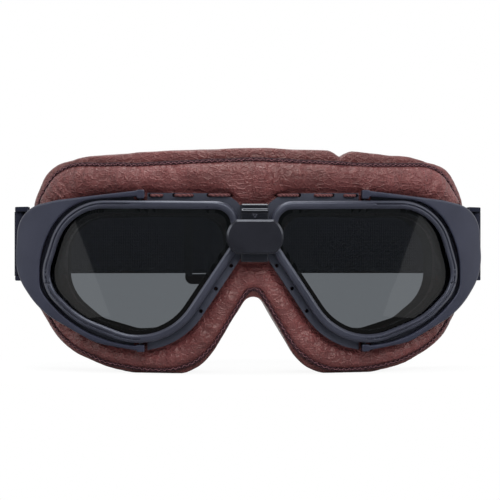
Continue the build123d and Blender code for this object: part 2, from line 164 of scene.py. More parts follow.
def look(name):
    """The scene's settings for one finish."""
    return getattr(bpy.context.scene, name)


def wrapped(x, z, radius):
    """Place on the wrapped front at a radius from its axis."""
    return Vector((x, AXIS - sqrt(radius * radius - x * x), z))


def outwards(place):
    """Direction away from the wrap axis."""
    return Vector((place.x, place.y - AXIS, 0)).normalized()


def feed(tree, socket, value):
    """Set an input: link it to the socket that feeds it, or give it a value."""
    if isinstance(value, bpy.types.NodeSocket):
        tree.links.new(value, socket)
    else:
        socket.default_value = value


def put(tree, kind, inputs=None, **settings):
    """Add a shader node; an input is a value or the socket that feeds it."""
    made = tree.nodes.new(kind)
    for name, value in settings.items():
        setattr(made, name, value)
    for key, value in (inputs or {}).items():
        feed(tree, made.inputs[key], value)
    return made


def noise_value(tree, where, scale, detail, **inputs):
    """Value of a noise texture."""
    return put(tree, "ShaderNodeTexNoise",
               {"Vector": where, "Scale": scale, "Detail": detail, **inputs}).outputs["Fac"]


def object_space(tree):
    """Coordinates that stay with the piece."""
    return put(tree, "ShaderNodeTexCoord").outputs["Object"]


def ramp(tree, value, low, high, dark=(0, 0, 0, 1), light=(1, 1, 1, 1)):
    """Two-stop colour ramp over a value."""
    made = put(tree, "ShaderNodeValToRGB", {"Fac": value})
    first, last = made.color_ramp.elements
    first.position, first.color = low, dark
    last.position, last.color = high, light
    return made.outputs["Color"]


def calc(tree, operation, *values):
    """Result of a maths node."""
    made = put(tree, "ShaderNodeMath", operation=operation)
    for socket, value in zip(made.inputs, values):
        feed(tree, socket, value)
    return made.outputs[0]


def blend_colour(tree, share, first, second, mode="MIX"):
    """Mix of two colours; sockets 0, 6 and 7 are the node's factor and its two colours."""
    made = put(tree, "ShaderNodeMix", data_type="RGBA", blend_type=mode)
    for key, value in ((0, share), (6, first), (7, second)):
        feed(tree, made.inputs[key], value)
    return made.outputs[2]


def new_group(name, inputs, outputs):
    """Empty shader node group with named sockets."""
    group = bpy.data.node_groups.new(name, "ShaderNodeTree")
    for way, sockets in (("INPUT", inputs), ("OUTPUT", outputs)):
        for label, kind in sockets.items():
            group.interface.new_socket(label, in_out=way, socket_type=f"NodeSocket{kind}")
    return group, group.nodes.new("NodeGroupInput").outputs, group.nodes.new("NodeGroupOutput")


def finish_group(group, outlet, **values):
    """Link the group's results to its outputs."""
    for label, socket in values.items():
        group.links.new(socket, outlet.inputs[label])
    return group


def pebbled_grain():
    """Leather: uneven pebbles, a net of raised grain lines, folds and drawn wrinkles, with painted
    shade in the hollows between them.
    """
    group, take, give = new_group(
        "Pebbled grain",
        {"Vector": "Vector", "Pebble": "Float", "Leather": "Color", "Crevice Shade": "Color"},
        {"Color": "Color", "Roughness": "Float", "Height": "Float"})
    drift = put(group, "ShaderNodeTexNoise",
                {"Vector": take["Vector"], "Scale": 340.0, "Detail": 2.0}).outputs["Color"]
    spread = put(group, "ShaderNodeVectorMath", {0: drift, "Scale": 0.0011}, operation="SCALE")
    place = put(group, "ShaderNodeVectorMath",
                {0: take["Vector"], 1: spread.outputs[0]}, operation="ADD").outputs[0]
    cells = put(group, "ShaderNodeTexVoronoi",
                {"Vector": place, "Scale": take["Pebble"], "Randomness": 0.95},
                feature="DISTANCE_TO_EDGE").outputs["Distance"]
    wide = calc(group, "MULTIPLY", take["Pebble"], 0.66)
    pulled = put(group, "ShaderNodeMapping",
                 {"Vector": place, "Rotation": (0, 0.5, 0), "Scale": (0.62, 1.0, 1.15)}).outputs[0]
    patches = put(group, "ShaderNodeTexVoronoi",
                  {"Vector": pulled, "Scale": wide, "Randomness": 1.0},
                  feature="DISTANCE_TO_EDGE").outputs["Distance"]
    pebbles = ramp(group, cells, 0.0, 0.30)
    ridges = ramp(group, patches, 0.0, 0.13, (1, 1, 1, 1), (0, 0, 0, 1))
    creases = noise_value(group, take["Vector"], 85.0, 4.0, Roughness=0.55, Distortion=0.6)
    folds = ramp(group, creases, 0.38, 0.62)
    drawn = put(group, "ShaderNodeMapping",
                {"Vector": take["Vector"], "Rotation": (0, 0.55, 0), "Scale": (0.34, 1.0, 1.5)})
    streaks = noise_value(group, drawn.outputs[0], 330.0, 3.0, Distortion=0.5)
    wrinkles = ramp(group, streaks, 0.36, 0.60)
    pores = noise_value(group, take["Vector"], 5200.0, 2.0)
    height = calc(group, "MULTIPLY_ADD", ridges, 0.50, calc(group, "MULTIPLY", pebbles, 0.26))
    height = calc(group, "MULTIPLY_ADD", folds, 0.42, height)
    height = calc(group, "MULTIPLY_ADD", wrinkles, 0.45, height)
    height = calc(group, "MULTIPLY_ADD", pores, 0.03, height)
    # Painted shade: hollows take the crevice colour, raised grain lines and wrinkles the leather
    # colour.
    raised = calc(group, "MULTIPLY_ADD", ridges, 0.45, calc(group, "MULTIPLY", wrinkles, 0.45))
    raised = calc(group, "MULTIPLY_ADD", pebbles, 0.2, raised)
    tone = blend_colour(group, raised, take["Crevice Shade"], take["Leather"])
    cloud = noise_value(group, take["Vector"], 45.0, 3.0)
    shade = ramp(group, cloud, 0.30, 0.72, (0.72, 0.70, 0.70, 1), (1.16, 1.18, 1.20, 1))
    tone = blend_colour(group, 1.0, tone, shade, "MULTIPLY")
    rough = calc(group, "MULTIPLY_ADD", raised, -0.14, 0.49)
    return finish_group(group, give, Color=tone, Roughness=rough, Height=height)


def moulded_skin():
    """Moulded plastic: fine spark texture, faint mottle and handling marks."""
    group, take, give = new_group(
        "Moulded skin",
        {"Vector": "Vector", "Grain": "Float", "Plastic": "Color", "Roughness": "Float"},
        {"Color": "Color", "Roughness": "Float", "Height": "Float"})
    spark = noise_value(group, take["Vector"], take["Grain"], 2.0)
    mottle = noise_value(group, take["Vector"], 90.0, 4.0)
    rubs = noise_value(group, take["Vector"], 260.0, 3.0, Distortion=1.5)
    worn = ramp(group, rubs, 0.60, 0.74)
    shade = ramp(group, mottle, 0.3, 0.7, (0.86, 0.86, 0.86, 1), (1.12, 1.12, 1.12, 1))
    tone = blend_colour(group, 1.0, take["Plastic"], shade, "MULTIPLY")
    rough = calc(group, "MULTIPLY_ADD", calc(group, "SUBTRACT", mottle, 0.5), 0.22,
                 take["Roughness"])
    rough = calc(group, "MULTIPLY_ADD", worn, -0.06, rough)
    return finish_group(group, give, Color=tone, Roughness=rough, Height=spark)


def spun_thread():
    """Thread: two plies that wind round each other, with lint, and painted shade in the grooves
    between the plies.
    """
    group, take, give = new_group(
        "Spun thread", {"Vector": "Vector", "Twist": "Float", "Thread": "Color"},
        {"Color": "Color", "Height": "Float"})
    plies = put(group, "ShaderNodeTexWave",
                {"Vector": take["Vector"], "Scale": take["Twist"], "Distortion": 0.5,
                 "Detail": 1.0}, wave_type="BANDS", bands_direction="DIAGONAL").outputs["Fac"]
    lint = noise_value(group, take["Vector"], 2600.0, 3.0)
    # Painted shade: the grooves between the plies are darkened.
    shade = ramp(group, plies, 0.0, 0.8, (0.45, 0.42, 0.42, 1), (1.15, 1.15, 1.15, 1))
    tone = blend_colour(group, 1.0, take["Thread"], shade, "MULTIPLY")
    height = calc(group, "MULTIPLY_ADD", lint, 0.3, plies)
    return finish_group(group, give, Color=tone, Height=height)


def shared(name, build):
    """A node group, built the first time that it is asked for."""
    return bpy.data.node_groups.get(name) or build()


def new_material(name):
    """Material with its node tree and its Principled BSDF."""
    material = bpy.data.materials.new(name)
    material.use_nodes = True
    tree = material.node_tree
    return material, tree, tree.nodes["Principled BSDF"]


def raise_skin(tree, shader, height, depth):
    """Bump the surface; a height of 1 stands for the depth."""
    bump = put(tree, "ShaderNodeBump", {"Height": height, "Distance": depth})
    tree.links.new(bump.outputs["Normal"], shader.inputs["Normal"])


def skinned(name, label, build, depth, inputs):
    """Material whose colour, roughness and relief come from a shared node group."""
    material, tree, shader = new_material(name)
    skin = put(tree, "ShaderNodeGroup", {"Vector": object_space(tree), **inputs},
               node_tree=shared(label, build)).outputs
    tree.links.new(skin["Color"], shader.inputs["Base Color"])
    if "Roughness" in skin:
        tree.links.new(skin["Roughness"], shader.inputs["Roughness"])
    raise_skin(tree, shader, skin["Height"], depth)
    return material, shader


def leather(name, colour, crevice_shade, depth=0.34 * MM, shine=0.46):
    """Pebbled leather with a warm reflection and painted shade in its crevices."""
    material, shader = skinned(name, "Pebbled grain", pebbled_grain, depth, {
        "Pebble": 1 / look("goggles_leather").pebble, "Leather": colour, "Crevice Shade": crevice_shade})
    shader.inputs["Specular IOR Level"].default_value = shine
    shader.inputs["Specular Tint"].default_value = (1.0, 0.84, 0.78, 1)
    return material


def plastic(name, colour, roughness, grain=3500.0, depth=0.02 * MM, coat=0.0, shine=0.5):
    """Moulded plastic with a cool reflection."""
    material, shader = skinned(name, "Moulded skin", moulded_skin, depth, {
        "Grain": grain, "Plastic": colour, "Roughness": roughness})
    shader.inputs["Specular IOR Level"].default_value = shine
    shader.inputs["Specular Tint"].default_value = (0.80, 0.86, 1.0, 1)
    shader.inputs["Coat Weight"].default_value = coat
    shader.inputs["Coat Roughness"].default_value = 0.08
    return material


def thread(name, colour, twist):
    """Dull two-ply thread."""
    material, shader = skinned(name, "Spun thread", spun_thread, 0.12 * MM, {
        "Twist": twist, "Thread": colour})
    shader.inputs["Roughness"].default_value = 0.75
    shader.inputs["Specular IOR Level"].default_value = 0.2
    return material


def linked(name, data):
    """New object in the scene."""
    made = bpy.data.objects.new(name, data)
    bpy.context.scene.collection.objects.link(made)
    return made


def clothe(node, material):
    """Give a CAD node a finish and leave its shape alone."""
    piece = NODES[node]
    if not piece.material_slots:
        piece.data.materials.append(material)
    for spot in piece.material_slots:
        spot.material = material
    return piece


def settle(name, mesh, body, material, replaced=()):
    """Turn a mesh into a piece at the origin that rides on a body."""
    piece = linked(name, mesh)
    mesh.materials.clear()
    mesh.materials.append(material)
    if body:
        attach(piece, body)
    if replaced:
        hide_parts(*replaced)
    return piece


def smooth(mesh):
    """Shade the mesh smooth."""
    mesh.polygons.foreach_set("use_smooth", [True] * len(mesh.polygons))
    mesh.update()
    return mesh


def bake(piece):
    """Fix a helper object's modifiers into a new mesh and drop the helper."""
    bpy.context.view_layer.update()
    graph = bpy.context.evaluated_depsgraph_get()
    mesh = bpy.data.meshes.new_from_object(piece.evaluated_get(graph))
    bpy.data.objects.remove(piece)
    return mesh


def merged(*nodes):
    """CAD nodes as one bmesh, whose loose triangles share their corners."""
    shape = bmesh.new()
    for node in nodes:
        shape.from_mesh(NODES[node].data)
    bmesh.ops.remove_doubles(shape, verts=shape.verts, dist=SAME_SPOT)
    return shape


def to_mesh(name, shape):
    """Turn a bmesh into a mesh and free it."""
    mesh = bpy.data.meshes.new(name)
    shape.to_mesh(mesh)
    shape.free()
    return mesh


def evened(nodes, voxel, rounds):
    """Even, closed skin over one or more CAD solids."""
    helper = linked("skin", to_mesh("skin", merged(*nodes)))
    remesh = helper.modifiers.new("Even", "REMESH")
    remesh.mode, remesh.voxel_size = "VOXEL", voxel
    ease = helper.modifiers.new("Ease", "SMOOTH")
    ease.factor, ease.iterations = 0.5, rounds
    return bake(helper)


def tube(name, lines, radius, sides, closed=False):
    """Round threads along lines of points, as one mesh."""
    curve = bpy.data.curves.new(name, "CURVE")
    curve.dimensions, curve.bevel_depth, curve.bevel_resolution = "3D", radius, sides
    curve.resolution_u, curve.use_fill_caps = 3, True
    for points in lines:
        spline = curve.splines.new("NURBS")
        spline.points.add(len(points) - 1)
        for spot, place in zip(spline.points, points):
            spot.co = (*place, 1)
        spline.order_u, spline.use_endpoint_u, spline.use_cyclic_u = 3, not closed, closed
    return smooth(bake(linked(name, curve)))


def loose_parts(node):
    """Corners of each separate solid of a CAD node."""
    shape = merged(node)
    left, parts = set(shape.verts), []
    while left:
        reached, edge = set(), [left.pop()]
        while edge:
            vert = edge.pop()
            reached.add(vert)
            edge += [n for e in vert.link_edges for n in e.verts if n not in reached]
        left -= reached
        parts.append([vert.co.copy() for vert in reached])
    shape.free()
    return parts


def seam_line():
    """Closed line along the outer front edge of the leather sheet, read from its solid."""
    shape = merged("front_leather_panel")
    sharp, on_face = 0.5, 0.05 * MM

    def depth(vert):
        return Vector((vert.co.x, vert.co.y - AXIS)).length

    rim = [edge for edge in shape.edges if len(edge.link_faces) == 2
           and edge.calc_face_angle(0) > sharp
           and all(abs(depth(v) - SHEET_FRONT) < on_face for v in edge.verts)]
    links = {}
    for edge in rim:
        for here, there in (edge.verts, reversed(edge.verts)):
            links.setdefault(here.index, []).append(there.index)
    places = {v.index: v.co.copy() for v in shape.verts if v.index in links}
    shape.free()
    start = max(places, key=lambda i: places[i].z)
    route, seen = [start], {start}
    while True:
        onward = [i for i in links[route[-1]] if i not in seen]
        if not onward:
            break
        route.append(onward[0])
        seen.add(onward[0])
    points = [places[i] for i in route]
    if (points[1] - points[0]).x < 0 and points[0].z > points[len(points) // 2].z:
        points.reverse()
    return points


def paced(points, pitch):
    """Spots at an even pitch round a closed line, with the way along it."""
    ring = points + points[:1]
    runs = [(b - a).length for a, b in zip(ring, ring[1:])]
    count = round(sum(runs) / pitch)
    step, spots, index, walked = sum(runs) / count, [], 0, 0.0
    for i in range(count):
        while walked + runs[index] < i * step:
            walked += runs[index]
            index += 1
        share = (i * step - walked) / max(runs[index], 1e-9)
        spots.append((ring[index].lerp(ring[index + 1], share),
                      (ring[index + 1] - ring[index]).normalized()))
    return spots


def away_from_sheet(spot, along):
    """Direction out of the leather's edge, in its surface."""
    return outwards(spot).cross(along).normalized()


def seam_finder():
    """Nearest-point search along the seam."""
    spots = paced(seam_line(), SEAM_STEP)
    tree = KDTree(len(spots))
    for i, (spot, _) in enumerate(spots):
        tree.insert(spot, i)
    tree.balance()
    return tree


def inflate(mesh, held, voxel=4.5 * MM, cap=1.4 * MM, frames=20):
    """Swell a skin by a short cloth run on a coarse copy, held where the pad is sewn."""
    start = linked("swell", mesh.copy())
    coarse = start.modifiers.new("Even", "REMESH")
    coarse.mode, coarse.voxel_size = "VOXEL", voxel
    rough = bake(start)
    before = [vert.co.copy() for vert in rough.vertices]
    helper = linked("swell", rough)
    sewn = helper.vertex_groups.new(name="sewn")
    sewn.add([i for i, place in enumerate(before) if held(place)], 1.0, "REPLACE")
    cloth = helper.modifiers.new("Cloth", "CLOTH")
    cloth.settings.quality = 6
    cloth.settings.vertex_group_mass = "sewn"
    cloth.settings.use_pressure = True
    cloth.settings.uniform_pressure_force = 4.0
    cloth.settings.tension_stiffness = 40
    cloth.settings.effector_weights.gravity = 0.0
    cloth.point_cache.frame_start, cloth.point_cache.frame_end = 1, frames
    scene = bpy.context.scene
    for moment in range(1, frames + 1):
        scene.frame_set(moment)
    swollen = bake(helper)
    moves = [vert.co - place for vert, place in zip(swollen.vertices, before)]
    scene.frame_set(1)
    carry_moves(mesh, before, moves, cap)
    return mesh


def carry_moves(mesh, places, moves, cap, closest=5, softening=0.2 * MM):
    """Move a fine mesh as the nearest corners of a coarse one moved, up to a cap."""
    tree = KDTree(len(places))
    for i, place in enumerate(places):
        tree.insert(place, i)
    tree.balance()
    for vert in mesh.vertices:
        total, push = 0.0, Vector()
        for _, i, gap in tree.find_n(vert.co, closest):
            weight = 1 / (gap + softening) ** 2
            total += weight
            push += moves[i] * weight
        push /= total
        vert.co += push * min(1, cap / max(push.length, 1e-9))


class GOGGLES_OT_front_leather(bpy.types.Operator):
    """Pebbled leather sheet that the frames are laced to, puckered along its seam"""
    bl_idname = "goggles.front_leather"
    bl_label = "Front Leather"

    def execute(self, context):
        settings = look("goggles_leather")
        mesh = evened(["front_leather_panel"], 0.75 * MM, rounds=3)
        self.puff(mesh, settings.puff)
        piece = settle("front_leather", smooth(mesh), "mask",
                       leather("Front leather", settings.colour, settings.crevice_shade),
                       ["front_leather_panel"])
        return {"FINISHED"}

    def puff(self, mesh, height):
        """Swell the face between seam and frames, with tucks, but not where frames cover it."""
        seam = seam_finder()
        shape = bmesh.new()
        for node in ("left_eye_frame", "right_eye_frame", "nose_bridge"):
            shape.from_mesh(NODES[node].data)
        frames = BVHTree.FromBMesh(shape)
        shape.free()
        reach, full_width = 6 * MM, 13 * MM
        seam_hold, frame_hold, frame_sink, sink_end = 1.5 * MM, 2.5 * MM, 0.5 * MM, 3 * MM
        for vert in mesh.vertices:
            place, out = vert.co.copy(), outwards(vert.co)
            face = (place.to_2d() - Vector((0, AXIS))).length
            if face < (SHEET_FRONT + SHEET_BACK) / 2:
                continue
            if frames.ray_cast(place - out * 0.5 * MM, out, reach)[0]:
                continue
            _, i, gap = seam.find(place)
            room = frames.find_nearest(place)[3]
            share = gap / max(gap + room, 1e-6)
            swell = sin(pi * share ** 0.8) ** 0.8 * min(1, (gap + room) / full_width)
            run = i * SEAM_STEP / MM
            tuck = noise.noise(Vector((run * 0.13, gap * 60, 3)))
            tuck += 0.7 * noise.noise(Vector((run * 0.42, gap * 110, 9)))
            lift = height * swell * (1 + 0.5 * tuck) * min(1, gap / seam_hold)
            lift -= frame_sink * max(0, 1 - room / frame_hold) * min(1, gap / sink_end)
            vert.co += out * lift


class GOGGLES_OT_rear_leather(bpy.types.Operator):
    """Padded roll and back of the face pad, in one leather skin over its foam"""
    bl_idname = "goggles.rear_leather"
    bl_label = "Rear Leather"

    def execute(self, context):
        settings = look("goggles_leather")
        mesh = evened(["rear_leather_cover", "foam_core"], 1.2 * MM, rounds=6)
        seam = seam_finder()
        foot, held, standing = 3 * MM, 5 * MM, 0.6 * MM
        inflate(mesh, lambda place: place.z < foot or seam.find(place)[2] < held)
        valley_width, valley_depth = 3.5 * MM, 0.8 * MM
        dent_x, dent_half, dent_depth, dent_foot = 34 * MM, 5 * MM, 2.6 * MM, 70 * MM
        faces = [vert.normal.copy() for vert in mesh.vertices]
        for vert, face in zip(mesh.vertices, faces):
            place = vert.co.copy()
            if place.z < standing:
                continue
            gap = seam.find(place)[2] / valley_width
            if gap < 1:
                vert.co -= face * valley_depth * (1 - gap) ** 2
            if place.z > dent_foot:
                pinch = abs(place.x - dent_x) / dent_half
                if pinch < 1:
                    rise = min(1, (place.z - dent_foot) / (12 * MM))
                    vert.co.z -= dent_depth * (1 - pinch) ** 1.6 * rise
            slow = noise.noise(place * 42 + Vector((4, 1, 7)))
            quick = noise.noise(place * 120 + Vector((1, 8, 2)))
            vert.co += face * (0.55 * slow + 0.28 * quick - 0.15) * MM
        piece = settle("rear_leather", smooth(mesh), "mask",
                       leather("Rear leather", settings.colour, settings.crevice_shade),
                       ["rear_leather_cover", "foam_core"])
        return {"FINISHED"}


class GOGGLES_OT_edge_stitching(bpy.types.Operator):
    """Overlocked seam: thread wound over the edge of the two leathers, darker under its top chain
    as painted shade
    """
    bl_idname = "goggles.edge_stitching"
    bl_label = "Edge Stitching"

    def execute(self, context):
        settings = look("goggles_thread")
        spots = paced(seam_line(), settings.pitch)
        step = (spots[1][0] - spots[0][0]).length
        loops, chain, beds = [], [], ([], [])
        # Points of one stitch: mm out of the edge, mm to the front, share of the step
        loop_turns = ((-0.72, 0.10, 0.0), (-0.45, 0.52, 0.10), (0.15, 0.62, 0.26),
                      (0.62, 0.10, 0.42), (0.30, -0.55, 0.60), (-0.50, -0.50, 0.82))
        chain_turns = ((-0.34, 0.72, 0.0), (-0.10, 0.84, 0.18), (0.30, 0.80, 0.46),
                       (0.10, 0.30, 0.74))
        for i, (spot, along) in enumerate(spots):
            out, face = away_from_sheet(spot, along), outwards(spot)
            sway = out * noise.noise(Vector((i * 0.31, 0, 5))) * 0.30 * MM
            for thread_line, turns in ((loops, loop_turns), (chain, chain_turns)):
                for aside, lift, share in turns:
                    thread_line.append(spot + sway + out * aside * MM + face * lift * MM
                                       + along * step * share)
            for row, aside in zip(beds, (-0.40, 0.36)):
                row.append(spot + sway + out * aside * MM - face * 0.08 * MM)
        mesh = tube("edge_stitching", [chain], settings.radius, 1, closed=True)
        joined = bmesh.new()
        joined.from_mesh(mesh)
        chain_faces = len(joined.faces)
        joined.from_mesh(tube("loops", [loops], settings.radius * 1.2, 1, closed=True))
        joined.from_mesh(tube("stitch_bed", beds, 0.50 * MM, 2, closed=True))
        joined.to_mesh(mesh)
        joined.free()
        settle("edge_stitching", smooth(mesh), "mask",
               thread("Overlock thread", settings.overlock, 700.0),
               ["edge_binding"])
        # Painted shade: the loops and the bed under the chain take the darker copy of the thread.
        mesh.materials.append(thread("Seam bed shade", settings.shaded_bed, 700.0))
        for face in mesh.polygons[chain_faces:]:
            face.material_index = 1
        return {"FINISHED"}


class GOGGLES_OT_eye_linings(bpy.types.Operator):
    """Dark leather walls of the two eye openings, darkened further to near black as painted shade
    """
    bl_idname = "goggles.eye_linings"
    bl_label = "Eye Linings"

    def execute(self, context):
        settings = look("goggles_leather")
        # Painted shade: the walls take the near-black lining colour, with no reflection.
        finish = leather("Lining leather with painted shade", settings.lining, settings.lining, 0.15 * MM, shine=0.0)
        waves, wave_height = 90, 0.18 * MM
        for side in SIDES:
            mesh = evened([f"{side}_eye_lining"], 0.6 * MM, rounds=2)
            faces = [vert.normal.copy() for vert in mesh.vertices]
            for vert, face in zip(mesh.vertices, faces):
                vert.co += face * noise.noise(vert.co * waves) * wave_height
            settle(f"{side}_opening_wall", smooth(mesh), "mask", finish,
                   [f"{side}_eye_lining"])
        return {"FINISHED"}


class GOGGLES_OT_lacing(bpy.types.Operator):
    """Running stitch of waxed thread through the flanges of the eye frames"""
    bl_idname = "goggles.lacing"
    bl_label = "Frame Lacing"

    def execute(self, context):
        finish = thread("Waxed lace", look("goggles_thread").lace, 420.0)
        for side in SIDES:
            strands = [self.strand(run) for run in loose_parts(f"{side}_frame_lacing")]
            mesh = tube("lacing", strands, 0.62 * MM, 3)
            settle(f"{side}_lace_stitches", mesh, "mask", finish,
                   [f"{side}_frame_lacing"])
        return {"FINISHED"}

    def strand(self, run):
        """Path of one stitch: out of a hole, along the flange and into the next hole."""
        hole_inset, lean_in_hole, lean_below = 1.25 * MM, 0.992, 0.962
        low = min(p.x for p in run) + hole_inset
        high = max(p.x for p in run) - hole_inset
        z = (min(p.z for p in run) + max(p.z for p in run)) / 2
        shoulder, crest = LACE_ON_TOP + 0.1 * MM, LACE_ON_TOP + 0.3 * MM
        path = [wrapped(low * lean_below, z, SHEET_BACK),
                wrapped(low * lean_in_hole, z, LACE_IN_HOLE),
                wrapped(low + 0.1 * MM, z, shoulder)]
        for share in (0.25, 0.5, 0.75):
            path.append(wrapped(low + (high - low) * share, z, crest))
        path += [wrapped(high - 0.1 * MM, z, shoulder),
                 wrapped(high * lean_in_hole, z, LACE_IN_HOLE),
                 wrapped(high * lean_below, z, SHEET_BACK)]
        return path


def webbing_mesh(name, path, width, level, thick, across=14):
    """Flat band that stands on edge along a path in plan, with its own lengthwise map."""
    runs = [0.0]
    for here, there in zip(path, path[1:]):
        runs.append(runs[-1] + (there - here).length)
    shape = bmesh.new()
    mapped = shape.loops.layers.uv.new("Weave")
    bmesh.ops.create_grid(shape, x_segments=len(path) - 1, y_segments=across, size=0.5)
    count = len(path) - 1
    for face in shape.faces:
        for corner in face.loops:
            place = corner.vert.co
            step = round((place.x + 0.5) * count)
            corner[mapped].uv = (runs[step], place.y * width(path[step]))
    for vert in shape.verts:
        spot = path[round((vert.co.x + 0.5) * count)]
        vert.co = Vector((spot.x, spot.y, level + vert.co.y * width(spot)))
    bmesh.ops.recalc_face_normals(shape, faces=shape.faces)
    helper = linked(name, to_mesh(name, shape))
    wall = helper.modifiers.new("Thickness", "SOLIDIFY")
    wall.thickness, wall.offset, wall.use_even_offset = thick, 0, True
    return bake(helper)


def webbing(name, colour, rib):
    """Woven elastic: lengthwise cords and picks across them, with painted shade in the low parts
    of the weave.
    """
    material, tree, shader = new_material(name)
    where = put(tree, "ShaderNodeUVMap", uv_map="Weave").outputs[0]
    split = put(tree, "ShaderNodeSeparateXYZ", {0: where}).outputs
    pick = 0.75 * rib
    along = calc(tree, "SINE", calc(tree, "MULTIPLY", split[0], tau / pick))
    cords = calc(tree, "SINE", calc(tree, "MULTIPLY", split[1], tau / rib))
    cords = calc(tree, "ABSOLUTE", cords)
    knit = calc(tree, "MULTIPLY", calc(tree, "MULTIPLY_ADD", along, 0.5, 0.5), 0.45)
    height = calc(tree, "ADD", calc(tree, "MULTIPLY", cords, 0.55), knit)
    lint = noise_value(tree, where, 1800.0, 3.0)
    height = calc(tree, "MULTIPLY_ADD", lint, 0.3, height)
    # Painted shade: the low parts of the weave are darkened.
    shade = ramp(tree, height, 0.1, 1.1, (0.86, 0.86, 0.88, 1), (1.10, 1.10, 1.10, 1))
    tone = blend_colour(tree, 1.0, colour, shade, "MULTIPLY")
    tree.links.new(tone, shader.inputs["Base Color"])
    shader.inputs["Roughness"].default_value = 0.82
    shader.inputs["Specular IOR Level"].default_value = 0.15
    raise_skin(tree, shader, height, 0.08 * MM)
    return material


def rounded_route(corners, radii, arc_steps=12, longest=3 * MM):
    """Plan line through corners, each rounded to its radius, in short runs."""
    route = [corners[0]]
    for before, corner, after, radius in zip(corners, corners[1:], corners[2:], radii):
        back, ahead = (before - corner).normalized(), (after - corner).normalized()
        half = back.angle(ahead) / 2
        cut = radius / (sin(half) / cos(half))
        start, end = corner + back * cut, corner + ahead * cut
        centre = corner + (back + ahead).normalized() * (radius / sin(half))
        route.append(start)
        for n in range(1, arc_steps + 1):
            arm = (start - centre).slerp(end - centre, n / arc_steps).normalized() * radius
            route.append(centre + arm)
    route.append(corners[-1])
    fine = [route[0]]
    for here, there in zip(route, route[1:]):
        gap = (there - here).length
        if gap < 1e-7:
            continue
        count = max(1, round(gap / longest))
        fine += [here.lerp(there, n / count) for n in range(1, count + 1)]
    return fine


def in_plan(x, y):
    """Place in plan, at no height."""
    return Vector((x, y, 0))


# The strap's thickness, the radius of its loop round a bar, the step from layer to layer,
# and its corner; then the sewn leaf's length, spread, foot and bends.
STRAP_THICKNESS = 1.6 * MM
BAR_LOOP = 2.45 * MM
LAYER = 1.75 * MM
STRAP_CORNER = 38 * MM
LEAF_LENGTH = 16 * MM
LEAF_SPREAD = 8 * MM
LEAF_FOOT = 1.6 * MM
LEAF_BENDS = (4 * MM, 3.6 * MM)

# Where the halves meet under the slider, and where the outer layer starts to follow it
JOIN_X = -15 * MM
TAIL_X = 50 * MM


class GOGGLES_OT_strap(bpy.types.Operator):
    """Elastic strap in two halves that meet under the slider, looped round both bars"""
    bl_idname = "goggles.strap"
    bl_label = "Elastic Strap"

    def execute(self, context):
        settings = look("goggles_webbing")
        finish = webbing("Elastic webbing", settings.colour, settings.rib)
        low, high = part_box("strap")
        bar_low, bar_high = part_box("right_strap_bar")
        bar = Vector(((bar_low.x + bar_high.x) / 2, (bar_low.y + bar_high.y) / 2, 0))
        width, level = high.z - low.z, (high.z + low.z) / 2
        outer, inner = bar.x + BAR_LOOP, bar.x - BAR_LOOP
        under = outer - LAYER
        far = high.y - STRAP_THICKNESS / 2
        near = far - LAYER
        arc = [in_plan(bar.x - BAR_LOOP * cos(a * pi / 12), bar.y - BAR_LOOP * sin(a * pi / 12))
               for a in range(13)]
        leaf = [in_plan(under, bar.y + LEAF_LENGTH), in_plan(under, bar.y + LEAF_SPREAD),
                in_plan(inner, bar.y + LEAF_FOOT), in_plan(inner, bar.y)]
        left_leaf, left_arc = ([in_plan(-p.x, p.y) for p in points] for points in (leaf, arc))
        left_path = rounded_route(left_leaf, LEAF_BENDS)[:-1] + left_arc + rounded_route(
            [in_plan(-outer, bar.y), in_plan(-outer, near), in_plan(JOIN_X, near)],
            (STRAP_CORNER,))[1:]
        right_path = rounded_route(
            [in_plan(JOIN_X, near), in_plan(under, near)] + leaf[1:],
            (STRAP_CORNER - LAYER, *LEAF_BENDS))[:-1] + arc + rounded_route(
            [in_plan(outer, bar.y), in_plan(outer, far), in_plan(JOIN_X + 1.15 * MM, far)],
            (STRAP_CORNER,))[1:]
        cut = next(i for i, p in enumerate(right_path)
                   if abs(p.y - far) < SAME_SPOT and p.x < TAIL_X)
        tail_path, right_path = right_path[cut:], right_path[:cut + 1]
        ear_extra, ear_end, ear_fade = 0.9 * MM, bar.y + 14 * MM, 8 * MM

        def wide(spot):
            return width + ear_extra * min(1, max(0, (ear_end - spot.y) / ear_fade))

        def stretch(name, path):
            piece = settle(name, smooth(webbing_mesh(name, path, wide, level, STRAP_THICKNESS)),
                           None, finish)
            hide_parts("strap")
            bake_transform(piece)

        for side, path in (("left", left_path), ("right", right_path)):
            stretch(f"{side}_strap", path)
        stretch("strap_tail", tail_path)
        return {"FINISHED"}


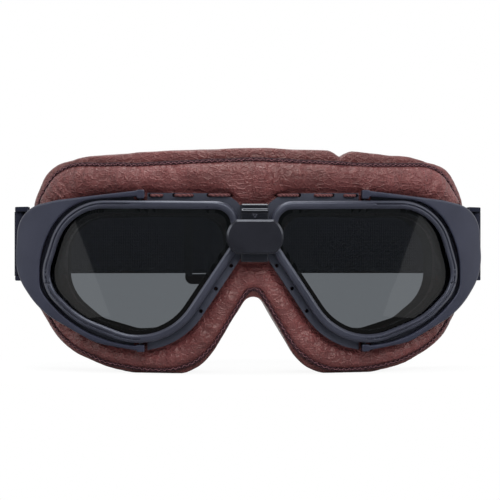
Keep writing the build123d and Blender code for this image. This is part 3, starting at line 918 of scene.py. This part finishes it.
class GOGGLES_OT_plastics(bpy.types.Operator):
    """Moulded plastics of the rims, frames, outriggers, bridge, cover and slider"""
    bl_idname = "goggles.plastics"
    bl_label = "Plastics"

    def execute(self, context):
        settings = look("goggles_plastic")
        rim = plastic("Rim plastic", settings.rim, 0.34, 2600.0, 0.010 * MM, shine=0.44)
        frame_black = plastic("Frame plastic", settings.rim, 0.40, 2600.0, 0.015 * MM, shine=0.45)
        arm = plastic("Outrigger plastic", settings.arm, 0.40, 2200.0, 0.02 * MM, shine=0.33)
        block = plastic("Bridge gloss", settings.block, 0.12, 1500.0, 0.004 * MM, coat=0.8)
        cap = plastic("Cover satin", settings.cover, 0.24, 2600.0, 0.008 * MM, shine=0.36)
        seal = plastic("Seal rubber", settings.block, 0.7, 1800.0, 0.02 * MM, shine=0.0)
        # Painted shade: the outrigger faces round each strap bar take the strap's dark navy, so
        # the ears read as shaded.
        ear_shade = plastic("Ear painted shade", look("goggles_webbing").colour, 0.7, shine=0.1)
        ear_reach = 9 * MM
        for side in SIDES:
            mesh = smooth(evened([f"{side}_lens_rim"], 0.21 * MM, rounds=7))
            settle(f"{side}_rim", mesh, "mask", rim, [f"{side}_lens_rim"])
            mesh = smooth(evened([f"{side}_outrigger"], 0.28 * MM, rounds=4))
            ear = sum(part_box(f"{side}_strap_bar"), Vector()) / 2
            shell = settle(f"{side}_arm_shell", mesh, f"{side}_arm", arm,
                           [f"{side}_outrigger"])
            shell.data.materials.append(ear_shade)
            for face in mesh.polygons:
                if (face.center - ear).to_2d().length < ear_reach:
                    face.material_index = 1
            clothe(f"{side}_eye_frame", frame_black)
            clothe(f"{side}_lens_seal", seal)
        mesh = smooth(evened(["nose_bridge"], 0.26 * MM, rounds=3))
        settle("bridge_block", mesh, "mask", block, ["nose_bridge"])
        clothe("bridge_cover", cap)
        clothe("strap_slider", plastic("Slider plastic", settings.block, 0.6, shine=0.15))
        return {"FINISHED"}


class GOGGLES_OT_pins(bpy.types.Operator):
    """Steel of the hinge pins and strap bars"""
    bl_idname = "goggles.pins"
    bl_label = "Pins"

    def execute(self, context):
        material, tree, shader = new_material("Pin steel")
        drawn = put(tree, "ShaderNodeMapping",
                    {"Vector": object_space(tree), "Scale": (1, 1, 0.03)})
        lines = noise_value(tree, drawn.outputs[0], 6000.0, 3.0)
        tree.links.new(ramp(tree, lines, 0.3, 0.7, (0.09, 0.09, 0.10, 1), (0.17, 0.17, 0.18, 1)),
                       shader.inputs["Base Color"])
        shader.inputs["Metallic"].default_value = 1.0
        tree.links.new(calc(tree, "MULTIPLY_ADD", lines, 0.25, 0.2), shader.inputs["Roughness"])
        raise_skin(tree, shader, lines, 0.01 * MM)
        for side in SIDES:
            clothe(f"{side}_hinge_pins", material)
            clothe(f"{side}_strap_bar", material)
        return {"FINISHED"}


class GOGGLES_OT_lenses(bpy.types.Operator):
    """Smoke panes with a faint film of dust"""
    bl_idname = "goggles.lenses"
    bl_label = "Lenses"

    def execute(self, context):
        material, tree, shader = new_material("Smoke lens")
        dust = noise_value(tree, object_space(tree), 900.0, 4.0)
        film = ramp(tree, dust, 0.60, 0.80, (0.0, 0.0, 0.0, 1), (0.05, 0.05, 0.05, 1))
        shader.inputs["Base Color"].default_value = look("goggles_lens").tint
        shader.inputs["Transmission Weight"].default_value = 1.0
        shader.inputs["IOR"].default_value = 1.49
        tree.links.new(film, shader.inputs["Roughness"])
        for side in SIDES:
            clothe(f"{side}_lens", material)
        return {"FINISHED"}


class GOGGLES_OT_arrow(bpy.types.Operator):
    """Small raised arrow that shows which way the bridge cover slides, coloured lighter than the
    block as a painted highlight
    """
    bl_idname = "goggles.arrow"
    bl_label = "Arrow"

    def execute(self, context):
        height, radius, stroke, rise, sunk = 61.25 * MM, 1.05 * MM, 0.26 * MM, 0.16 * MM, 0.02 * MM
        spot = Matrix.Translation((0, CROWN - BLOCK_PROUD + sunk, height))
        turn = Matrix.Rotation(pi / 2, 4, "X") @ Matrix.Rotation(pi, 4, "Z")
        shape = bmesh.new()
        bmesh.ops.create_circle(shape, cap_ends=True, segments=3, radius=radius,
                                matrix=spot @ turn)
        inside = bmesh.ops.inset_region(shape, faces=shape.faces[:], thickness=stroke,
                                        use_boundary=True)
        bmesh.ops.delete(shape, geom=[f for f in shape.faces if f not in inside["faces"]],
                         context="FACES")
        grown = bmesh.ops.extrude_face_region(shape, geom=shape.faces[:])
        bmesh.ops.translate(shape, vec=(0, -rise, 0),
                            verts=[e for e in grown["geom"] if isinstance(e, bmesh.types.BMVert)])
        bmesh.ops.recalc_face_normals(shape, faces=shape.faces)
        # Painted highlight: the arrow is coloured lighter than the black block it stands on, in
        # place of the light its edges catch.
        piece = settle("slide_arrow", to_mesh("slide_arrow", shape), "mask",
                       plastic("Arrow painted highlight", (0.075, 0.075, 0.095, 1), 0.25, 1500.0))
        return {"FINISHED"}


def face_towards(holder, place, target):
    """Stand an object at a place, with its -Z towards a target."""
    holder.location = place
    holder.rotation_euler = (Vector(target) - Vector(place)).to_track_quat("-Z", "Y").to_euler()


def softbox(name, place, target, size, power):
    """Rectangular lamp that shines at a target."""
    lamp = bpy.data.lights.new(name, "AREA")
    lamp.shape, lamp.size, lamp.size_y = "RECTANGLE", *size
    lamp.energy = power
    holder = linked(name, lamp)
    face_towards(holder, place, target)
    return holder


class GOGGLES_OT_studio(bpy.types.Operator):
    """Pale floor, soft light and the camera"""
    bl_idname = "goggles.studio"
    bl_label = "Studio"

    def execute(self, context):
        settings = look("goggles_studio")
        middle = Vector((0, CROWN + 15 * MM, 48 * MM))
        self.lay_floor(settings.floor)
        self.fill_world(context.scene)
        self.hang_lights(settings.key, middle)
        self.set_camera(context.scene, middle)
        return {"FINISHED"}

    def lay_floor(self, colour):
        """White floor with a faint shadow near the goggles; reflections see its front darker."""
        shape = bmesh.new()
        bmesh.ops.create_grid(shape, x_segments=1, y_segments=1, size=3.0)
        floor = linked("floor", to_mesh("floor", shape))
        material, tree, shader = new_material("Floor")
        shader.inputs["Base Color"].default_value = colour
        shader.inputs["Roughness"].default_value = 0.9
        path = put(tree, "ShaderNodeLightPath").outputs
        seen = calc(tree, "MAXIMUM", path["Is Camera Ray"], path["Is Transmission Ray"])
        seen = calc(tree, "MAXIMUM", seen, path["Is Glossy Ray"])
        where = object_space(tree)
        depth = put(tree, "ShaderNodeSeparateXYZ", {0: where}).outputs[1]
        ahead = ramp(tree, depth, -0.30, -0.08, (0.85, 0.85, 0.85, 1), (0, 0, 0, 1))
        dim = calc(tree, "MULTIPLY", path["Is Glossy Ray"], ahead)
        paper = put(tree, "ShaderNodeEmission",
                    {"Color": (1, 1, 1, 1), "Strength": calc(tree, "SUBTRACT", 1.0, dim)})
        away = put(tree, "ShaderNodeVectorMath", {0: where}, operation="LENGTH").outputs["Value"]
        near = ramp(tree, away, 0.07, 0.13, (0.92, 0.92, 0.92, 1))
        mix = put(tree, "ShaderNodeMixShader", {0: calc(tree, "MULTIPLY", seen, near),
                                                1: shader.outputs[0], 2: paper.outputs[0]})
        tree.links.new(mix.outputs[0], tree.nodes["Material Output"].inputs["Surface"])
        floor.data.materials.append(material)

    def fill_world(self, scene):
        """White to the camera; a dim, cool fill to all else, but white to reflections behind."""
        world = bpy.data.worlds.new("Studio")
        world.use_nodes = True
        scene.world = world
        tree = world.node_tree
        paper = tree.nodes["Background"]
        paper.inputs["Color"].default_value = (1, 1, 1, 1)
        paper.inputs["Strength"].default_value = 1.0
        path = put(tree, "ShaderNodeLightPath").outputs
        level = calc(tree, "MULTIPLY_ADD", path["Is Glossy Ray"], -0.12, 0.23)
        fill = put(tree, "ShaderNodeBackground", {"Color": (0.84, 0.94, 1, 1), "Strength": level})
        seen = calc(tree, "MAXIMUM", path["Is Camera Ray"], path["Is Transmission Ray"])
        way = put(tree, "ShaderNodeTexCoord").outputs["Generated"]
        behind = ramp(tree, put(tree, "ShaderNodeSeparateXYZ", {0: way}).outputs[1], 0.0, 0.2)
        seen = calc(tree, "MAXIMUM", seen, calc(tree, "MULTIPLY", path["Is Glossy Ray"], behind))
        mix = put(tree, "ShaderNodeMixShader", {0: seen, 1: fill.outputs[0], 2: paper.outputs[0]})
        tree.links.new(mix.outputs[0], tree.nodes["World Output"].inputs["Surface"])

    def hang_lights(self, key, target):
        """A large light in front, one above, and a box and a low card at each side."""
        card_height, card_turn, card_power = 0.030, 18.8 * pi / 180, 0.06
        softbox("key", (0.12, CROWN - 0.74, 0.62), target, (0.9, 0.6), key * 4.1)
        softbox("top", (-0.10, CROWN + 0.10, 1.0), target, (0.8, 0.4), key * 3.2)
        for name, side in SIDES.items():
            softbox(f"{name}_box", (side * 0.80, CROWN - 0.12, 0.42), target, (0.35, 0.5),
                    key * 0.9)
            card = softbox(f"{name}_card", (side * 0.676, CROWN - 0.181, card_height),
                           (0, CROWN, card_height), (0.5, 0.10), card_power)
            card.rotation_euler.rotate_axis("Z", side * card_turn)

    def set_camera(self, scene, middle):
        """Long lens, level with the middle of the goggles and a little to one side."""
        distance, turn, aside = 0.815, 2.6 * pi / 180, -1.07 * MM
        sight = bpy.data.cameras.new("camera")
        sight.lens, sight.sensor_width = 150.5, 36
        sight.clip_start, sight.clip_end = 0.05, 20
        camera = linked("camera", sight)
        target = Vector((aside, *middle.yz))
        face_towards(camera, target + Vector((-sin(turn), -cos(turn), 0)) * distance, target)
        scene.camera = camera
        scene.view_settings.view_transform = "Standard"


LOOKS = {
    "goggles_leather": LeatherLook, "goggles_thread": ThreadLook, "goggles_plastic": PlasticLook,
    "goggles_lens": LensLook, "goggles_webbing": WebbingLook, "goggles_studio": StudioLook,
}
STEPS = (
    GOGGLES_OT_plastics, GOGGLES_OT_pins, GOGGLES_OT_lenses, GOGGLES_OT_front_leather,
    GOGGLES_OT_rear_leather, GOGGLES_OT_edge_stitching, GOGGLES_OT_eye_linings,
    GOGGLES_OT_lacing, GOGGLES_OT_strap, GOGGLES_OT_arrow, GOGGLES_OT_studio,
)


class GOGGLES_PT_panel(bpy.types.Panel):
    """Steps and settings for dressing the goggles"""
    bl_idname = "GOGGLES_PT_panel"
    bl_label = "Goggles"
    bl_space_type = "VIEW_3D"
    bl_region_type = "UI"
    bl_category = "Goggles"

    def draw(self, context):
        for name, kind in LOOKS.items():
            settings = getattr(context.scene, name)
            for field in kind.__annotations__:
                self.layout.prop(settings, field)
        for step in STEPS:
            self.layout.operator(step.bl_idname)


def register():
    for name, kind in LOOKS.items():
        bpy.utils.register_class(kind)
        setattr(bpy.types.Scene, name, bpy.props.PointerProperty(type=kind))
    for kind in (*STEPS, GOGGLES_PT_panel):
        bpy.utils.register_class(kind)


def unregister():
    for kind in reversed((*STEPS, GOGGLES_PT_panel)):
        bpy.utils.unregister_class(kind)
    for name, kind in LOOKS.items():
        delattr(bpy.types.Scene, name)
        bpy.utils.unregister_class(kind)


def main():
    register()
    for step in STEPS:
        getattr(bpy.ops.goggles, step.bl_idname.split(".")[1])()


if __name__ == "__main__":
    main()
